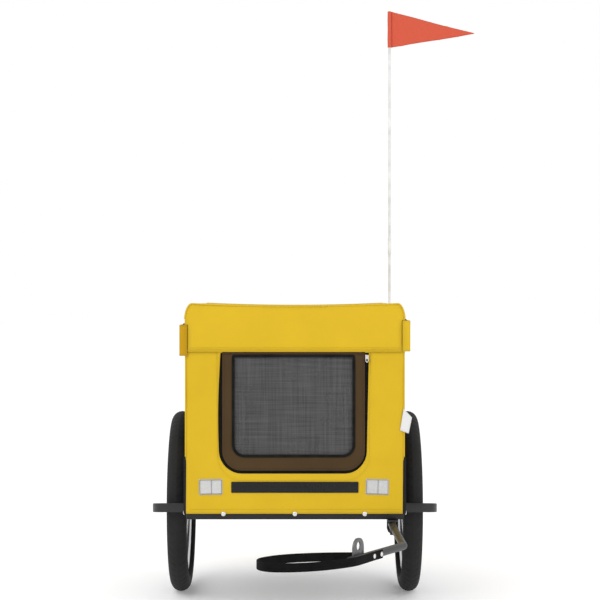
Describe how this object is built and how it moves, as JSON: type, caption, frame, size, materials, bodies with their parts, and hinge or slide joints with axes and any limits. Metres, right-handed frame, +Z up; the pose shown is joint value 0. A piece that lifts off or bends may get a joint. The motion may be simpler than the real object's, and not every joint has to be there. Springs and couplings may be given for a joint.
{
  "type": "bicycle trailer",
  "caption": "Two-wheeled bicycle trailer: folding fabric cabin with mesh door on a steel base, spoked wheels, side tow arm with safety strap, and a pennant on a pole.",
  "frame": {"origin": "bottom centre of the box of everything but the safety strap, on the ground", "axes": "+Z up, -Y is the front that faces the bicycle, +X is the trailer's left, where the tow arm is"},
  "size_m": [0.7382, 1.2229, 1.349],
  "materials": {
    "yellow": "woven, matt",
    "black_cloth": "woven, matt",
    "brown_cloth": "woven, matt",
    "mesh": "open mesh, matt",
    "webbing": "ribbed webbing",
    "black_metal": "satin powder coat",
    "grey_metal": "satin",
    "tyre": "matt",
    "alloy": "satin",
    "steel": "bright zinc",
    "black_plastic": "fine grain",
    "board": "grained",
    "white_plastic": "gloss fibreglass",
    "flag": "thin woven",
    "reflective": "prismatic tape"
  },
  "bodies": {
    "chassis": {"arm_bracket": "black_metal", "arm_pivot_bolt": "steel", "axle_crossbar": "black_metal", "axle_left": "steel", "axle_nut_left": "steel", "axle_nut_right": "steel", "axle_right": "steel", "corner_post_front_left": "black_plastic", "corner_post_front_right": "black_plastic", "corner_post_rear_left": "black_plastic", "corner_post_rear_right": "black_plastic", "door_zip": "black_cloth", "flag_socket": "black_plastic", "floor_board": "board", "floor_mat": "black_cloth", "front_rail": "black_metal", "front_wall": "yellow", "hinge_pin_front_left": "steel", "hinge_pin_front_right": "steel", "hinge_pin_rear_left": "steel", "hinge_pin_rear_right": "steel", "left_rail": "black_metal", "lower_side_panel_left": "black_cloth", "lower_side_panel_right": "black_cloth", "rear_rail": "black_metal", "rear_wall": "yellow", "rear_window_mesh": "mesh", "right_rail": "black_metal", "roof_cover": "yellow", "side_curtain_left": "yellow", "side_curtain_right": "yellow", "side_wall_left": "yellow", "side_wall_right": "yellow", "side_window_mesh_left": "mesh", "side_window_mesh_right": "mesh", "wheel_guard_left": "black_metal", "wheel_guard_right": "black_metal"},
    "wheel_left": {"tyre_left": "tyre", "rim_left": "alloy", "hub_and_spokes_left": "alloy"},
    "wheel_right": {"tyre_right": "tyre", "rim_right": "alloy", "hub_and_spokes_right": "alloy"},
    "front_hoop": {"hoop_front": "black_metal"},
    "rear_hoop": {"hoop_rear": "black_metal"},
    "arm": {"tow_arm": "grey_metal", "hitch_eye_plate": "grey_metal", "safety_strap": "webbing"},
    "lock_pin": {"arm_lock_pin": "black_plastic"},
    "door": {"door_frame": "brown_cloth", "door_mesh": "mesh"},
    "flap": {"front_flap": "yellow"},
    "hatch": {"roof_hatch": "mesh"},
    "slider": {"zip_slider": "steel"},
    "flag": {"flag_pole": "white_plastic", "pennant": "flag"},
    "knob_front_left": {"lock_knob_front_left": "black_plastic"},
    "knob_front_right": {"lock_knob_front_right": "black_plastic"},
    "knob_rear_left": {"lock_knob_rear_left": "black_plastic"},
    "knob_rear_right": {"lock_knob_rear_right": "black_plastic"}
  },
  "joints": [
    {"name": "wheel_left_spin", "type": "hinge", "parent": "chassis", "child": "wheel_left", "pos_m": [0.18717, 0.25048, 0.2], "axis": [1, 0, 0], "continuous": true},
    {"name": "wheel_right_spin", "type": "hinge", "parent": "chassis", "child": "wheel_right", "pos_m": [-0.31803, 0.25048, 0.2], "axis": [1, 0, 0], "continuous": true},
    {"name": "frame_fold", "type": "hinge", "parent": "chassis", "child": "front_hoop", "pos_m": [-0.06543, -0.07552, 0.345], "axis": [1, 0, 0], "range_deg": [-90, 0]},
    {"name": "rear_hoop_fold", "type": "hinge", "parent": "chassis", "child": "rear_hoop", "pos_m": [-0.06543, 0.54648, 0.345], "axis": [1, 0, 0], "range_deg": [0, 90]},
    {"name": "arm_swing", "type": "hinge", "parent": "chassis", "child": "arm", "pos_m": [0.13357, -0.07352, 0.188], "axis": [0, 0, 1], "range_deg": [-70, 0]},
    {"name": "arm_lock_pull", "type": "slide", "parent": "chassis", "child": "lock_pin", "axis": [0, 0, -1], "range_m": [0, 0.006], "stiffness_N_per_m": 500},
    {"name": "door_lift", "type": "hinge", "parent": "chassis", "child": "door", "pos_m": [-0.06543, -0.08852, 0.5415], "axis": [-1, 0, 0], "range_deg": [0, 85]},
    {"name": "zip_travel", "type": "slide", "parent": "chassis", "child": "slider", "axis": [0, 0, -1], "range_m": [0, 0.185]},
    {"name": "flap_lift", "type": "hinge", "parent": "chassis", "child": "flap", "pos_m": [-0.06543, -0.09352, 0.6423], "axis": [-1, 0, 0], "range_deg": [0, 120]},
    {"name": "hatch_lift", "type": "hinge", "parent": "chassis", "child": "hatch", "pos_m": [-0.06543, 0.37248, 0.6423], "axis": [-1, 0, 0], "range_deg": [0, 100]},
    {"name": "flag_lift", "type": "slide", "parent": "chassis", "child": "flag", "axis": [0, 0, 1], "range_m": [0, 0.058]},
    {"name": "knob_pull_front_left", "type": "slide", "parent": "chassis", "child": "knob_front_left", "axis": [-1, 0, 0], "range_m": [0, 0.005], "stiffness_N_per_m": 500},
    {"name": "knob_pull_front_right", "type": "slide", "parent": "chassis", "child": "knob_front_right", "axis": [1, 0, 0], "range_m": [0, 0.005], "stiffness_N_per_m": 500},
    {"name": "knob_pull_rear_left", "type": "slide", "parent": "chassis", "child": "knob_rear_left", "axis": [-1, 0, 0], "range_m": [0, 0.005], "stiffness_N_per_m": 500},
    {"name": "knob_pull_rear_right", "type": "slide", "parent": "chassis", "child": "knob_rear_right", "axis": [1, 0, 0], "range_m": [0, 0.005], "stiffness_N_per_m": 500}
  ],
  "couplings": [
    {"joint": "rear_hoop_fold", "follows": "frame_fold", "ratio": -1}
  ]
}
